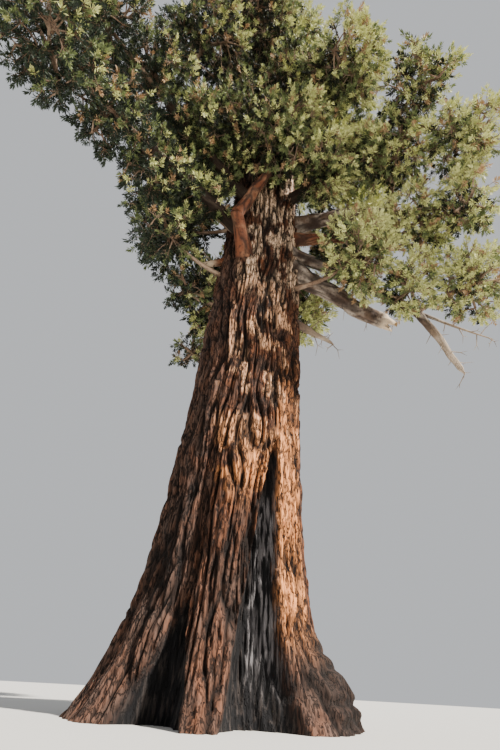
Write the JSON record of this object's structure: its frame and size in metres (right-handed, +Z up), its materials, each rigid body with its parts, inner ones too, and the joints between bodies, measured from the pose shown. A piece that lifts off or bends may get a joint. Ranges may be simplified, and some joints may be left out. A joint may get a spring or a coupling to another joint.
{
  "type": "giant sequoia tree",
  "caption": "Very old giant sequoia tree: leaning trunk on a flared, fire-scarred foot, heavy broken limbs, and rounded masses of foliage all the way up to its top.",
  "frame": {"origin": "middle of the flat cut at ground level, under the trunk", "axes": "+Z up, +X to the right and +Y away as the tree is seen from the side with the tall fire scar"},
  "size_m": [18.174, 14.9922, 39.9218],
  "materials": {
    "bark": "fibrous red-brown bark in long ridges, grey on the shaded side, charred black in the hollows",
    "limb_bark": "rough grey-brown bark, with pale torn wood at broken ends",
    "foliage": "matt scale-like needles in dense tufts, yellow-green to dark olive"
  },
  "bodies": {
    "root": {"foliage_back_high_1": "foliage", "foliage_back_high_2": "foliage", "foliage_back_high_3": "foliage", "foliage_back_low_1": "foliage", "foliage_back_low_2": "foliage", "foliage_back_low_3": "foliage", "foliage_back_middle_1": "foliage", "foliage_back_middle_2": "foliage", "foliage_back_middle_3": "foliage", "foliage_crown_high_1": "foliage", "foliage_crown_high_2": "foliage", "foliage_crown_high_3": "foliage", "foliage_crown_low_1": "foliage", "foliage_crown_low_2": "foliage", "foliage_crown_low_3": "foliage", "foliage_crown_middle_1": "foliage", "foliage_crown_middle_2": "foliage", "foliage_crown_middle_3": "foliage", "foliage_crown_top": "foliage", "foliage_front": "foliage", "foliage_front_high": "foliage", "foliage_front_left": "foliage", "foliage_front_low": "foliage", "foliage_front_right": "foliage", "foliage_front_top": "foliage", "foliage_left_behind": "foliage", "foliage_left_high": "foliage", "foliage_left_inner": "foliage", "foliage_left_lone": "foliage", "foliage_left_low": "foliage", "foliage_left_middle": "foliage", "foliage_left_near": "foliage", "foliage_left_outer": "foliage", "foliage_left_top": "foliage", "foliage_left_under": "foliage", "foliage_right_far": "foliage", "foliage_right_high": "foliage", "foliage_right_inner": "foliage", "foliage_right_low": "foliage", "foliage_right_middle": "foliage", "foliage_right_outer": "foliage", "foliage_right_tip": "foliage", "foliage_right_top": "foliage", "foliage_right_under": "foliage", "limb_bare_right": "limb_bark", "limb_broken_right": "limb_bark", "limb_far_right": "limb_bark", "limb_front_lower": "limb_bark", "limb_front_upper": "limb_bark", "limb_great_right": "limb_bark", "limb_hanging_right": "limb_bark", "limb_high_left": "limb_bark", "limb_high_right": "limb_bark", "limb_left_lower": "limb_bark", "limb_left_upper": "limb_bark", "limb_long_right": "limb_bark", "limb_pale_right": "limb_bark", "limb_stub_left": "limb_bark", "limb_stub_right": "limb_bark", "trunk": "bark"}
  },
  "joints": []
}
